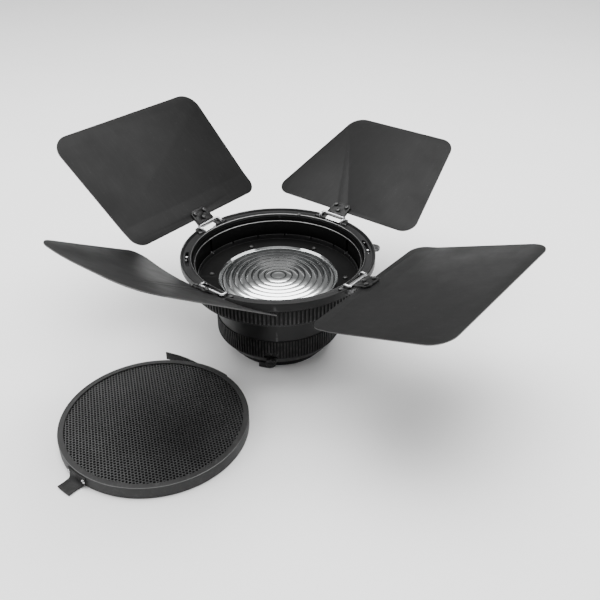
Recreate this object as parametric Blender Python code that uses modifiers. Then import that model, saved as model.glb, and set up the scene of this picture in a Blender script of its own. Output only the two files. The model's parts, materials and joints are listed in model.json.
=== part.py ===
"""Focusing Fresnel head for a studio flash, with four barn-door leaves and a loose honeycomb grid.

The head stands on its rear bayonet. The origin is the centre of the plane that the bayonet lugs
stand on, +Z is the optical axis towards the front, and +X is to the right of the person who looks
at it along +Y. Lengths below are in millimetres and are multiplied by MM when they are used.
"""
import bmesh
import bpy
from math import atan2, cos, degrees, pi, radians, sin
from mathutils import Matrix, Vector

MM = 0.001
GAP = 0.3                        # clearance kept between neighbouring pieces
MERGE = 0.00001                  # merge distance of the turned shapes, metres
TURN = 48                        # steps round a large ring
SMALL_TURN = 10                  # steps round a screw or a pin

# Driving dimensions
LENS_R = 55.0                    # clear radius of the Fresnel lens
BARREL_R = 58.2
MOUNT_TUBE_R = 44.0              # outside of the bayonet tube
LUG_R = 49.0
LUG_ANGLE = -105.0
LUG_HALF = 6.5                   # half the angle that a lug covers, degrees
LUG_HEIGHT = 5.6
MOUNT_SCREW_R = 47.2
FLANGE_Z = 7.6                   # rear face of the base cap above the lug plane
FLANGE_R = 50.3
CAP_TOP = 19.1
GRIP_TOP = 37.2
FLARE_Z = 54.5                   # where the barrel starts to open into the front housing
HOUSING_R = 80.5
HOUSING_Z = 69.5
WELL_R = 75.5                    # bore of the front tube
TUBE_R = 78.1
TUBE_TOP = 91.8
TUBE_STEP = 89.2
ZOOM_R = 82.2
ZOOM_BOTTOM = 71.8
ZOOM_TOP = 87.7
PLATE_TOP = 70.2                 # lens plate, at the rear end of its travel
PLATE_THICK = 1.4
PLATE_R = 74.9
LENS_SCREW_R = 62.0
LENS_SCREWS = 6
FIRST_LENS_SCREW = -3.0
CARRIER_TRAVEL = 13.0
ZOOM_SWEEP = radians(70.0)
FOLLOWERS = 3
FIRST_FOLLOWER = 30.0            # azimuth of the first follower, degrees
FOLLOWER_Z = 73.7
FOLLOWER_R = 1.2
SLOT_HALF = 1.6                  # half width of the slots that the followers run in
RING_R = 88.5                    # barn-door ring
RING_BOTTOM = 90.3
RING_TOP = 97.2
FACE_Z = 94.9
FACE_UNDER = 92.8
BORE_R = 78.6
LOCK_TOP = 90.0
LOCK_BOTTOM = 88.3
LOCK_PIN_R = 82.6
LOCK_PIN_ANGLES = (4.5, 184.5)
LOCK_BACK = 4.0                  # lock ring travel either side of rest, degrees
LOCK_FORWARD = 11.0
HANDLE_ANGLE = 12.5              # azimuth of the lock ring's thumb tab
BAR_R = 88.0                     # radius of the hinge bars from the optical axis
BAR_Z = 98.8
BAR_WIRE = 1.2
BAR_HALF = 12.8
BAR_LEG_R = 81.6
NOTCH_HALF = 10.4
NOTCH_R = 80.6
EAR_REACH = 90.6                 # ears that carry the hinge bars
EAR_HALF = 15.6
EAR_CORNER = 2.0
DOOR_ANGLE = 52.1                # azimuth of the first hinge, the others follow every 90 degrees
LEAF_THICK = 1.0
LEAF_DROP = 2.0                  # leaf sheet below the hinge bar's axis
LEAF_START = 8.0
LEAF_END = 134.0
INNER_CORNER = 13.0              # corner radii of a leaf
OUTER_CORNER = 17.0
FOLD_AT = 30.0
FOLD_ANGLE = radians(5.0)
CLAMP_HALF = 10.0
CLAMP_SCREWS = ((-6.2, 12.6), (6.2, 12.6), (0.0, 6.2))
GRID_CENTRE = (-100.5, -128.0)
GRID_R = 78.2
GRID_HEIGHT = 11.0
GRID_LIP_R = 73.3
TAB_THICK = 1.2
TAB_ANGLE = -129.5
RIVET_SPREAD = 6.3               # half the angle between the two rivets of a tab, degrees
TAB2_RIVETS = (50.0, 62.0)
RIVET_Z = 6.2
KNOB_ANGLE = -96.0
KNOB_Z = 14.0

# name, azimuth index, half width at the hinge end and at the free end, raise in degrees, folded
LEAVES = (
    ("back_left", 1, 82.0, 89.5, 35.8, True),
    ("back_right", 0, 80.5, 60.5, 23.3, False),
    ("front_right", 3, 82.0, 89.5, 14.3, True),
    ("front_left", 2, 80.5, 60.5, 33.6, False),
)


# ---------------------------------------------------------------- helpers

def clear_scene():
    for item in list(bpy.data.objects):
        bpy.data.objects.remove(item, do_unlink=True)


def new_collection(name):
    group = bpy.data.collections.new(name)
    bpy.context.scene.collection.children.link(group)
    return group


def new_material(name, colour, roughness, metallic):
    mat = bpy.data.materials.new(name)
    mat.use_nodes = True
    shader = mat.node_tree.nodes["Principled BSDF"]
    shader.inputs["Base Color"].default_value = (*colour, 1.0)
    shader.inputs["Roughness"].default_value = roughness
    shader.inputs["Metallic"].default_value = metallic
    return mat


def link(name, mesh, group, mat=None):
    item = bpy.data.objects.new(name, mesh)
    group.objects.link(item)
    if mat is not None:
        mesh.materials.append(mat)
        mesh.shade_smooth()
        mesh.set_sharp_from_angle(angle=radians(35))
    return item


def polar(radius, angle, z=0.0):
    """Point at a radius and an azimuth in degrees, in metres."""
    turn = radians(angle)
    return Vector((radius * cos(turn), radius * sin(turn), z)) * MM


def turned(name, profile, group, mat=None, steps=TURN, closed=True):
    """Screw of a profile of (radius, height) points that runs down its outer side."""
    mesh = bpy.data.meshes.new(name)
    points = [(r * MM, 0.0, z * MM) for r, z in profile]
    last = len(points)
    edges = [(i, (i + 1) % last) for i in range(last if closed else last - 1)]
    mesh.from_pydata(points, edges, [])
    item = link(name, mesh, group)
    if mat is not None:
        mesh.materials.append(mat)
    screw = item.modifiers.new("turn", "SCREW")
    screw.axis = "Z"
    screw.steps = steps
    screw.render_steps = steps
    screw.use_merge_vertices = True
    screw.merge_threshold = MERGE
    screw.use_smooth_shade = False
    return item


def mesh_from(item, name, group, mat):
    """Welded mesh object made from a curve, which is then removed."""
    bpy.context.view_layer.update()
    evaluated = item.evaluated_get(bpy.context.evaluated_depsgraph_get())
    mesh = bpy.data.meshes.new_from_object(evaluated)
    work = bmesh.new()
    work.from_mesh(mesh)
    bmesh.ops.remove_doubles(work, verts=work.verts, dist=MERGE)
    work.to_mesh(mesh)
    work.free()
    solid = link(name, mesh, group, mat)
    solid.matrix_world = item.matrix_world
    bpy.data.objects.remove(item, do_unlink=True)
    return solid


def plate(name, outline, low, high, group, mat=None):
    """Flat outline of (x, y) points filled and extruded between two heights."""
    curve = bpy.data.curves.new(name, "CURVE")
    curve.dimensions = "2D"
    curve.fill_mode = "BOTH"
    curve.extrude = (high - low) / 2 * MM
    spline = curve.splines.new("POLY")
    spline.points.add(len(outline) - 1)
    for point, (x, y) in zip(spline.points, outline):
        point.co = (x * MM, y * MM, 0.0, 1.0)
    spline.use_cyclic_u = True
    item = bpy.data.objects.new(name + "_outline", curve)
    item.location.z = (high + low) / 2 * MM
    group.objects.link(item)
    return mesh_from(item, name, group, mat)


def wire(name, points, radius, group, mat=None, resolution=2):
    """Round bar along a list of points in millimetres."""
    curve = bpy.data.curves.new(name, "CURVE")
    curve.dimensions = "3D"
    curve.bevel_depth = radius * MM
    curve.bevel_resolution = resolution
    curve.use_fill_caps = True
    spline = curve.splines.new("POLY")
    spline.points.add(len(points) - 1)
    for point, place in zip(spline.points, points):
        point.co = (*(Vector(place) * MM), 1.0)
    item = bpy.data.objects.new(name + "_path", curve)
    group.objects.link(item)
    return mesh_from(item, name, group, mat)


def boolean(item, other, operation):
    """Cut or join with a guide object, which the build leaves out."""
    other.hide_render = True
    other.display_type = "WIRE"
    step = item.modifiers.new(operation.lower(), "BOOLEAN")
    step.operation = operation
    step.solver = "EXACT"
    step.object = other
    return item


def sector(inner, outer, start, end, steps):
    """Outline of a piece of a ring between two azimuths in degrees."""
    turns = [radians(start + (end - start) * i / steps) for i in range(steps + 1)]
    rim = [(outer * cos(t), outer * sin(t)) for t in turns]
    return rim + [(inner * cos(t), inner * sin(t)) for t in reversed(turns)]


def corner(centre, radius, start, end, steps=8):
    """Arc of points about a centre, angles in degrees."""
    turns = [radians(start + (end - start) * k / steps) for k in range(steps + 1)]
    return [(centre[0] + radius * cos(t), centre[1] + radius * sin(t)) for t in turns]


def rounded_slot(radius, half, start, end, steps):
    """Outline of an arc-shaped slot with round ends."""
    points = corner((0, 0), radius + half, start, end, steps)
    tip = (radius * cos(radians(end)), radius * sin(radians(end)))
    points += corner(tip, half, end, end + 180, 6)[1:-1]
    points += corner((0, 0), radius - half, end, start, steps)
    tail = (radius * cos(radians(start)), radius * sin(radians(start)))
    points += corner(tail, half, start + 180, start + 360, 6)[1:-1]
    return points


def peg(name, radius, length, group, location, direction, steps=SMALL_TURN):
    """Plain round cutter, centred on a place and pointing along a direction."""
    mesh = bpy.data.meshes.new(name)
    work = bmesh.new()
    bmesh.ops.create_cone(work, cap_ends=True, segments=steps, radius1=radius * MM,
                          radius2=radius * MM, depth=length * MM)
    work.to_mesh(mesh)
    work.free()
    item = link(name, mesh, group)
    item.location = location
    item.rotation_euler = Vector(direction).to_track_quat("Z", "Y").to_euler()
    return item


def screw_profile(head_r, head_h, shank_r, length):
    """Button head above z = 0 with its shank below."""
    return [(0, head_h), (head_r * 0.7, head_h), (head_r, head_h * 0.55), (head_r, 0),
            (shank_r, 0), (shank_r, -length), (0, -length)]


def fastener(name, profile, group, mat, location, direction=(0, 0, 1), parent=None):
    item = turned(name, profile, group, mat, steps=SMALL_TURN, closed=False)
    item.parent = parent
    item.location = location
    item.rotation_euler = Vector(direction).to_track_quat("Z", "Y").to_euler()
    return item


# ---------------------------------------------------------------- rear of the head

def bayonet_mount(parts, cutters, mats):
    profile = [(49.9, 13.4), (49.9, 10.9), (MOUNT_TUBE_R, 10.9), (MOUNT_TUBE_R, 0.3),
               (MOUNT_TUBE_R - 0.3, 0.0), (40.3, 0.0), (40.0, 0.3), (40.0, 13.4)]
    mount = turned("bayonet_mount", profile, parts, mats["metal"])
    for k in range(3):
        middle = LUG_ANGLE + 120 * k
        outline = sector(MOUNT_TUBE_R - 2, LUG_R, middle - LUG_HALF, middle + LUG_HALF, 4)
        boolean(mount, plate("lug_%d" % (k + 1), outline, 0.0, LUG_HEIGHT, cutters), "UNION")
    for k in range(3):
        angle = LUG_ANGLE + 60 + 120 * k
        hole = peg("mount_hole_%d" % (k + 1), 1.4, 8, cutters, polar(MOUNT_SCREW_R, angle, 12.0), (0, 0, 1))
        boolean(mount, hole, "DIFFERENCE")
        fastener("mount_screw_%d" % (k + 1), screw_profile(2.3, 1.4, 1.05, 6.5), parts,
                 mats["screw"], polar(MOUNT_SCREW_R, angle, FLANGE_Z - GAP), (0, 0, -1))


def base_cap(parts, cutters, mats):
    profile = [(BARREL_R, CAP_TOP), (BARREL_R, 18.4), (51.5, 9.8), (FLANGE_R, 9.0), (FLANGE_R, 7.9),
               (50.0, FLANGE_Z), (44.4, FLANGE_Z), (44.4, 10.6), (50.2, 10.6), (50.2, 13.8),
               (53.0, 16.0), (53.0, CAP_TOP)]
    cap = turned("base_cap", profile, parts, mats["metal"])
    for k in range(3):
        angle = LUG_ANGLE + 60 + 120 * k
        hole = peg("cap_hole_%d" % (k + 1), 1.4, 8, cutters, polar(MOUNT_SCREW_R, angle, 9.0), (0, 0, 1))
        boolean(cap, hole, "DIFFERENCE")
    bore = peg("knob_bore", 1.9, 14, cutters, polar(54.0, KNOB_ANGLE, KNOB_Z), polar(1, KNOB_ANGLE))
    boolean(cap, bore, "DIFFERENCE")
    seat = peg("knob_seat", 5.2, 10, cutters, polar(60.4, KNOB_ANGLE, KNOB_Z), polar(1, KNOB_ANGLE), 24)
    boolean(cap, seat, "DIFFERENCE")


def lock_knob(parts, mats):
    profile = [(0, 5.4), (3.9, 5.4), (4.6, 4.8), (4.6, 0.9), (4.2, 0.4), (1.6, 0.4), (1.6, -4.4), (0, -4.4)]
    knob = fastener("lock_knob", profile, parts, mats["metal"], polar(55.4, KNOB_ANGLE, KNOB_Z),
                    polar(1, KNOB_ANGLE))
    knob.modifiers["turn"].steps = 24
    knob.modifiers["turn"].render_steps = 24


def rear_barrel(parts, mats):
    profile = [(80.3, 71.0), (HOUSING_R, 70.8), (HOUSING_R, HOUSING_Z), (BARREL_R, FLARE_Z),
               (BARREL_R, GRIP_TOP + GAP), (57.0, GRIP_TOP + GAP), (57.0, CAP_TOP + GAP),
               (53.0, CAP_TOP + GAP), (53.0, 55.6), (75.6, 68.5), (75.6, 69.9), (78.4, 69.9), (78.4, 71.0)]
    turned("rear_barrel", profile, parts, mats["metal"])
    grip = [(58.3, GRIP_TOP), (58.9, GRIP_TOP - 0.6), (58.9, CAP_TOP + 0.9), (58.3, CAP_TOP + GAP),
            (57.3, CAP_TOP + GAP), (57.3, GRIP_TOP)]
    turned("rear_grip", grip, parts, mats["metal"])


def front_tube(parts, cutters, mats):
    profile = [(77.6, TUBE_TOP), (TUBE_R, TUBE_TOP - 0.5), (TUBE_R, 70.2), (WELL_R + 0.1, 70.2),
               (WELL_R, 70.4), (WELL_R, TUBE_STEP - 0.3), (WELL_R + 0.3, TUBE_STEP),
               (77.0, TUBE_STEP), (77.0, TUBE_TOP)]
    tube = turned("front_tube", profile, parts, mats["metal"])
    for k in range(FOLLOWERS):
        angle = FIRST_FOLLOWER + 360 * k / FOLLOWERS
        low = FOLLOWER_Z - SLOT_HALF
        high = FOLLOWER_Z + CARRIER_TRAVEL + SLOT_HALF
        half = degrees(SLOT_HALF / TUBE_R)
        slot = plate("guide_slot_%d" % (k + 1), sector(74, 80, angle - half, angle + half, 2),
                     low, high, cutters)
        boolean(tube, slot, "DIFFERENCE")


# ---------------------------------------------------------------- zoom ring and lens carrier

def zoom_ring(parts, cutters, mats):
    profile = [(81.6, ZOOM_TOP), (ZOOM_R, ZOOM_TOP - 0.6), (ZOOM_R, ZOOM_BOTTOM + 0.6),
               (81.6, ZOOM_BOTTOM), (TUBE_R + 0.5, ZOOM_BOTTOM), (TUBE_R + 0.5, ZOOM_TOP)]
    ring = turned("zoom_ring", profile, parts, mats["metal"])
    for k in range(FOLLOWERS):
        start = radians(FIRST_FOLLOWER + 360 * k / FOLLOWERS)
        path = []
        for i in range(-1, 14):
            part = i / 12
            turn = start - ZOOM_SWEEP * part
            height = FOLLOWER_Z + CARRIER_TRAVEL * part
            path.append((79.2 * cos(turn), 79.2 * sin(turn), height))
        groove = wire("helix_%d" % (k + 1), path, SLOT_HALF, cutters)
        boolean(ring, groove, "DIFFERENCE")


def lens_carrier(parts, cutters, mats):
    rim = 73.6
    rim_top = FOLLOWER_Z + 1.4
    profile = [(rim + 0.9, rim_top), (PLATE_R, rim_top - 0.4), (PLATE_R, PLATE_TOP - PLATE_THICK),
               (LENS_R + 0.4, PLATE_TOP - PLATE_THICK), (LENS_R + 0.4, PLATE_TOP), (rim, PLATE_TOP),
               (rim, rim_top)]
    lens_plate = turned("lens_plate", profile, parts, mats["metal"])
    retainer = turned("lens_retainer", [(64.5, 66.0), (64.5, 64.3), (50.0, 64.3), (50.0, 66.0)],
                      parts, mats["metal"])
    for k in range(LENS_SCREWS):
        angle = FIRST_LENS_SCREW + 360 * k / LENS_SCREWS
        for piece, height in ((lens_plate, PLATE_TOP), (retainer, 65.0)):
            hole = peg("%s_hole_%d" % (piece.name, k + 1), 1.3, 6, cutters,
                       polar(LENS_SCREW_R, angle, height), (0, 0, 1), steps=10)
            boolean(piece, hole, "DIFFERENCE")
        fastener("lens_screw_%d" % (k + 1), screw_profile(2.2, 1.3, 1.0, 5.9), parts, mats["screw"],
                 polar(LENS_SCREW_R, angle, PLATE_TOP + GAP))
    for k in range(FOLLOWERS):
        angle = FIRST_FOLLOWER + 360 * k / FOLLOWERS
        hole = peg("follower_hole_%d" % (k + 1), 0.9, 6, cutters, polar(74.2, angle, FOLLOWER_Z),
                   polar(1, angle), steps=10)
        boolean(lens_plate, hole, "DIFFERENCE")
        pin = [(0, 5.0), (FOLLOWER_R, 5.0), (FOLLOWER_R, 0.3), (0.6, 0.3), (0.6, -1.9), (0, -1.9)]
        fastener("follower_pin_%d" % (k + 1), pin, parts, mats["steel"],
                 polar(75.0, angle, FOLLOWER_Z), polar(1, angle))


def fresnel_lens(parts, mats):
    flange_top = PLATE_TOP - PLATE_THICK - GAP
    profile = [(0, 71.8), (LENS_R - 0.4, 71.8), (LENS_R, 71.4), (LENS_R, flange_top),
               (60.0, flange_top), (60.0, 66.3), (0, 66.3)]
    turned("fresnel_lens", profile, parts, mats["glass"], closed=False)


# ---------------------------------------------------------------- barn-door ring

def hinge_frame(index):
    """Azimuth in degrees of one of the four hinges."""
    return DOOR_ANGLE + 90 * index


def barndoor_ring(parts, cutters, mats):
    profile = [(87.9, RING_TOP), (RING_R, RING_TOP - 0.6), (RING_R, RING_BOTTOM), (86.2, RING_BOTTOM),
               (86.2, FACE_UNDER), (80.4, FACE_UNDER), (80.4, RING_BOTTOM), (BORE_R, RING_BOTTOM),
               (BORE_R, 95.1), (BORE_R + 0.3, 95.4), (79.8, 95.4), (80.2, FACE_Z), (85.9, FACE_Z),
               (86.7, 96.9), (87.1, RING_TOP)]
    ring = turned("barndoor_ring", profile, parts, mats["metal"])
    for index in range(4):
        turn = Matrix.Rotation(radians(hinge_frame(index)), 4, "Z")
        ear = plate("ear_%d" % (index + 1), ear_outline(), FACE_UNDER + 0.25, FACE_Z + 1.6, cutters)
        ear.matrix_world = turn @ ear.matrix_world
        boolean(ring, ear, "UNION")
        notch = plate("notch_%d" % (index + 1), box_outline(NOTCH_R, 96, NOTCH_HALF), 84, 104, cutters)
        notch.matrix_world = turn @ notch.matrix_world
        boolean(ring, notch, "DIFFERENCE")
        for side in (-1, 1):
            place = turn @ (Vector((BAR_LEG_R, side * BAR_HALF, 95)) * MM)
            hole = peg("leg_hole_%d_%s" % (index + 1, "ab"[side > 0]), BAR_WIRE + GAP, 12, cutters,
                       place, (0, 0, 1), steps=12)
            boolean(ring, hole, "DIFFERENCE")
    for k, angle in enumerate(LOCK_PIN_ANGLES):
        slot = plate("pin_slot_%d" % (k + 1),
                     rounded_slot(LOCK_PIN_R, 1.8, angle - LOCK_BACK - 0.4, angle + LOCK_FORWARD + 0.4, 8),
                     90, 100, cutters)
        boolean(ring, slot, "DIFFERENCE")


def box_outline(near, far, half):
    return [(near, -half), (far, -half), (far, half), (near, half)]


def ear_outline():
    """Ear that stands 2 mm proud of the ring, with its sides running back into the rim."""
    near = BAR_LEG_R - 1.0
    points = [(near, -EAR_HALF - 3.0)]
    points += corner((EAR_REACH - EAR_CORNER, EAR_CORNER - EAR_HALF), EAR_CORNER, -90, 0, 4)
    points += corner((EAR_REACH - EAR_CORNER, EAR_HALF - EAR_CORNER), EAR_CORNER, 0, 90, 4)
    points.append((near, EAR_HALF + 3.0))
    return points


def hinge_bars(parts, mats):
    """Bright wire bow that stands on the ring and carries one leaf."""
    for name, index, _, _, _, _ in LEAVES:
        bend = 1.8
        path = [(BAR_LEG_R, -BAR_HALF, 93.0)]
        path += [(BAR_LEG_R, -BAR_HALF, BAR_Z - bend), (BAR_LEG_R + 0.5, -BAR_HALF, BAR_Z - 0.5),
                 (BAR_LEG_R + bend, -BAR_HALF, BAR_Z), (BAR_R - bend, -BAR_HALF, BAR_Z),
                 (BAR_R - 0.5, -BAR_HALF + 0.5, BAR_Z), (BAR_R, -BAR_HALF + bend, BAR_Z)]
        path += [(x, -y, z) for x, y, z in reversed(path)]
        bar = wire("hinge_bar_" + name, path, BAR_WIRE, parts, mats["chrome"])
        bar.rotation_euler.z = radians(hinge_frame(index))


def lock_ring(parts, cutters, mats):
    profile = [(85.6, LOCK_TOP), (85.6, LOCK_BOTTOM), (79.6, LOCK_BOTTOM), (79.6, LOCK_TOP)]
    ring = turned("lock_ring", profile, parts, mats["metal"])
    handle = plate("lock_handle", handle_outline(), LOCK_BOTTOM, LOCK_TOP, cutters)
    boolean(ring, handle, "UNION")
    for k, angle in enumerate(LOCK_PIN_ANGLES):
        hole = peg("lock_pin_hole_%d" % (k + 1), 1.25, 6, cutters, polar(LOCK_PIN_R, angle, 89),
                   (0, 0, 1), steps=12)
        boolean(ring, hole, "DIFFERENCE")
        pin = [(0, 5.1), (1.0, 5.1), (1.35, 4.8), (1.35, 0.3), (0.9, 0.3), (0.9, -1.7), (0, -1.7)]
        fastener("lock_pin_%d" % (k + 1), pin, parts, mats["chrome"], polar(LOCK_PIN_R, angle, LOCK_TOP))


def handle_outline():
    """Rounded thumb tab, wider at its root than at its tip."""
    middle = radians(HANDLE_ANGLE)
    across = Vector((-sin(middle), cos(middle)))
    out = Vector((cos(middle), sin(middle)))
    points = [out * 84 - across * 11, out * 88.6 - across * 9.5]
    for k in range(9):
        swing = -pi / 2 + pi * k / 8
        points.append(out * (91.5 + 5.6 * cos(swing)) + across * 6.2 * sin(swing))
    points += [out * 88.6 + across * 9.5, out * 84 + across * 11]
    return [(p.x, p.y) for p in points]


# ---------------------------------------------------------------- barn-door leaves

def leaf_outline(near_half, far_half):
    """Right-hand side of a leaf, from its hinge tongue out to its free edge."""
    slope = atan2(far_half - near_half, LEAF_END - LEAF_START)
    lean = degrees(slope)
    inner = (near_half - INNER_CORNER / cos(slope), LEAF_START + INNER_CORNER)
    shift = (LEAF_END - LEAF_START - OUTER_CORNER) * sin(slope) / cos(slope)
    outer = (near_half + shift - OUTER_CORNER / cos(slope), LEAF_END - OUTER_CORNER)
    points = [(CLAMP_HALF, 0.0), (CLAMP_HALF, LEAF_START)]
    points += corner(inner, INNER_CORNER, -90, -lean)
    points += corner(outer, OUTER_CORNER, -lean, 90)
    return points


def leaf_panel(name, near_half, far_half, folded, parts, cutters, mats, frame):
    mesh = bpy.data.meshes.new(name)
    work = bmesh.new()
    right = leaf_outline(near_half, far_half)
    outline = right + [(-x, y) for x, y in reversed(right)]
    verts = [work.verts.new((x * MM, y * MM, -LEAF_DROP * MM)) for x, y in outline]
    work.faces.new(verts)
    if folded:
        edge = Vector((0, FOLD_AT, -LEAF_DROP)) * MM
        bmesh.ops.bisect_plane(work, geom=work.faces[:] + work.edges[:] + work.verts[:],
                               plane_co=edge, plane_no=(0, 1, 0))
        beyond = [v for v in work.verts if v.co.y > edge.y + MERGE]
        bmesh.ops.rotate(work, verts=beyond, cent=edge, matrix=Matrix.Rotation(FOLD_ANGLE, 3, "X"))
    tongue = [v for v in work.verts if abs(v.co.y) < MERGE]
    curl = sorted(tongue, key=lambda v: v.co.x)
    for k in range(1, 8):
        swing = radians(-90 - 110 * k / 7)
        across = LEAF_DROP * MM * cos(swing)
        height = LEAF_DROP * MM * sin(swing)
        low = [work.verts.new((v.co.x, across, height)) for v in curl]
        work.faces.new((curl[0], curl[1], low[1], low[0]))
        curl = low
    bmesh.ops.recalc_face_normals(work, faces=work.faces)
    work.to_mesh(mesh)
    work.free()
    panel = link(name, mesh, parts, mats["sheet"])
    panel.parent = frame
    sheet = panel.modifiers.new("sheet", "SOLIDIFY")
    sheet.thickness = LEAF_THICK * MM
    sheet.offset = 0.0
    return panel


def leaf_clamp(name, parts, mats, frame):
    """Black plate that presses the leaf's tongue round the hinge bar."""
    outline = [(-CLAMP_HALF, 1.7), (CLAMP_HALF, 1.7), (CLAMP_HALF, 13.5), (CLAMP_HALF - 3, 16.5),
               (-CLAMP_HALF + 3, 16.5), (-CLAMP_HALF, 13.5)]
    low = -LEAF_DROP + LEAF_THICK / 2 + GAP
    clamp = plate(name, outline, low, low + 1.6, parts, mats["metal"])
    clamp.parent = frame
    return clamp, low + 1.6


def barn_door(leaf, parts, cutters, mats):
    name, index, near_half, far_half, lift, folded = leaf
    azimuth = hinge_frame(index)
    frame = bpy.data.objects.new("hinge_" + name, None)
    cutters.objects.link(frame)
    frame.location = polar(BAR_R, azimuth, BAR_Z)
    frame.rotation_euler = (radians(lift), 0, radians(azimuth - 90))
    panel = leaf_panel("leaf_" + name, near_half, far_half, folded, parts, cutters, mats, frame)
    clamp, top = leaf_clamp("leaf_clamp_" + name, parts, mats, frame)
    for k, (x, y) in enumerate(CLAMP_SCREWS):
        hole = peg("clamp_hole_%s_%d" % (name, k + 1), 1.35, 12, cutters, Vector((x, y, 0)) * MM,
                   (0, 0, 1), steps=10)
        hole.parent = frame
        boolean(panel, hole, "DIFFERENCE")
        boolean(clamp, hole, "DIFFERENCE")
        fastener("clamp_screw_%s_%d" % (name, k + 1), screw_profile(2.1, 1.3, 1.0, 4.6), parts,
                 mats["screw"], Vector((x, y, top + GAP)) * MM, parent=frame)


# ---------------------------------------------------------------- honeycomb grid

def grid_place(radius, angle, z):
    return polar(radius, angle, z) + Vector((*GRID_CENTRE, 0)) * MM


def honeycomb_grid(parts, cutters, mats):
    profile = [(GRID_R - 0.4, GRID_HEIGHT), (GRID_R, GRID_HEIGHT - 0.4), (GRID_R, 0.4), (GRID_R - 0.4, 0),
               (GRID_LIP_R, 0), (GRID_LIP_R, 1.0), (77.2, 1.0), (77.2, 10.0), (GRID_LIP_R, 10.0),
               (GRID_LIP_R, GRID_HEIGHT)]
    rim = turned("grid_frame", profile, parts, mats["sheet"])
    rim.location = grid_place(0, 0, 0)
    core = turned("grid_core", [(0, 9.7), (76.6, 9.7), (76.6, 1.3), (0, 1.3)], parts, mats["honeycomb"],
                  closed=False)
    core.location = grid_place(0, 0, 0)
    tabs = (strap_down("grid_tab_1", parts, mats), strap_along("grid_tab_2", parts, mats))
    angles = ((TAB_ANGLE - RIVET_SPREAD, TAB_ANGLE + RIVET_SPREAD), TAB2_RIVETS)
    rivet = [(0, 0.9), (1.2, 0.8), (2.0, 0.3), (2.0, 0), (0.85, 0), (0.85, -3.2), (0, -3.2)]
    count = 0
    for strap, pair in zip(tabs, angles):
        for angle in pair:
            count += 1
            hole = peg("rivet_hole_%d" % count, 1.15, 12, cutters, grid_place(GRID_R, angle, RIVET_Z),
                       polar(1, angle), steps=10)
            boolean(rim, hole, "DIFFERENCE")
            boolean(strap, hole, "DIFFERENCE")
            fastener("grid_rivet_%d" % count, rivet, parts, mats["chrome"],
                     grid_place(GRID_R + 2 * GAP + TAB_THICK, angle, RIVET_Z), polar(1, angle))


def strap(name, rows, parts, mats):
    """Leather strap from rows of three points across its width."""
    mesh = bpy.data.meshes.new(name)
    work = bmesh.new()
    grid = [[work.verts.new(point) for point in row] for row in rows]
    for one, two in zip(grid, grid[1:]):
        for k in range(len(one) - 1):
            work.faces.new((one[k], one[k + 1], two[k + 1], two[k]))
    bmesh.ops.recalc_face_normals(work, faces=work.faces)
    work.to_mesh(mesh)
    work.free()
    item = link(name, mesh, parts, mats["leather"])
    sheet = item.modifiers.new("hide", "SOLIDIFY")
    sheet.thickness = TAB_THICK * MM
    sheet.offset = 0.0
    return item


def strap_down(name, parts, mats):
    """Pull tab that hangs down the frame's side and runs out over the table."""
    middle = GRID_R + GAP + TAB_THICK / 2
    route = ((middle, 9.6, 10.5), (middle, 6.2, 10.5), (middle, 3.6, 9.6), (middle + 0.9, 1.9, 8.0),
             (middle + 2.9, 1.0, 7.0), (middle + 8.0, 0.9, 6.3), (middle + 13.4, 0.9, 6.1))
    rows = []
    for radius, height, half in route:
        swing = degrees(half / middle)
        rows.append([grid_place(radius, TAB_ANGLE + swing * s / 4, height) for s in range(-4, 5)])
    return strap(name, rows, parts, mats)


def strap_along(name, parts, mats):
    """Pull tab that stands on edge, follows the frame's side and then peels away from it."""
    middle = GRID_R + GAP + TAB_THICK / 2
    rows = []
    for angle in (46, 50, 54, 58, 62, 66, 70):
        rows.append([grid_place(middle, angle, z) for z in (2.0, 6.0, 10.0)])
    end = Vector((-4.2, 91.2))
    start = Vector((middle * cos(radians(70)), middle * sin(radians(70))))
    for k in range(1, 6):
        part = k / 5
        spot = start.lerp(end, part) - Vector((0.5, 0.8)) * 1.6 * sin(pi * part) * -1
        point = Vector((*GRID_CENTRE, 0)) + Vector((*spot, 0))
        rows.append([(point + Vector((0, 0, z))) * MM for z in (2.0, 6.0, 10.0)])
    return strap(name, rows, parts, mats)


# ---------------------------------------------------------------- build

def main():
    clear_scene()
    parts = new_collection("fresnel_spotlight")
    cutters = new_collection("cutters")
    mats = {
        "metal": new_material("black_metal", (0.022, 0.022, 0.024), 0.42, 0.3),
        "sheet": new_material("black_sheet", (0.055, 0.055, 0.058), 0.5, 0.2),
        "chrome": new_material("bright_steel", (0.75, 0.75, 0.76), 0.22, 1.0),
        "steel": new_material("plain_steel", (0.45, 0.45, 0.46), 0.35, 1.0),
        "screw": new_material("black_screw", (0.03, 0.03, 0.03), 0.35, 0.8),
        "glass": new_material("lens_glass", (0.85, 0.88, 0.88), 0.05, 0.0),
        "honeycomb": new_material("black_honeycomb", (0.06, 0.06, 0.06), 0.5, 0.4),
        "leather": new_material("black_leather", (0.045, 0.045, 0.047), 0.7, 0.0),
    }
    bayonet_mount(parts, cutters, mats)
    base_cap(parts, cutters, mats)
    lock_knob(parts, mats)
    rear_barrel(parts, mats)
    front_tube(parts, cutters, mats)
    zoom_ring(parts, cutters, mats)
    lens_carrier(parts, cutters, mats)
    fresnel_lens(parts, mats)
    barndoor_ring(parts, cutters, mats)
    hinge_bars(parts, mats)
    lock_ring(parts, cutters, mats)
    for leaf in LEAVES:
        barn_door(leaf, parts, cutters, mats)
    honeycomb_grid(parts, cutters, mats)


main()
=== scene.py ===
"""Looks of the focusing Fresnel head: fine meshes, materials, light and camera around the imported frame.

Lengths are in millimetres and are multiplied by MM when they are used. Turned pieces read their
section from the frame's own node, so they stay where the frame says.
"""
import json
import bmesh
import bpy
from math import atan2, cos, degrees, hypot, pi, radians, sin, tan
from mathutils import Matrix, Vector


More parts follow.
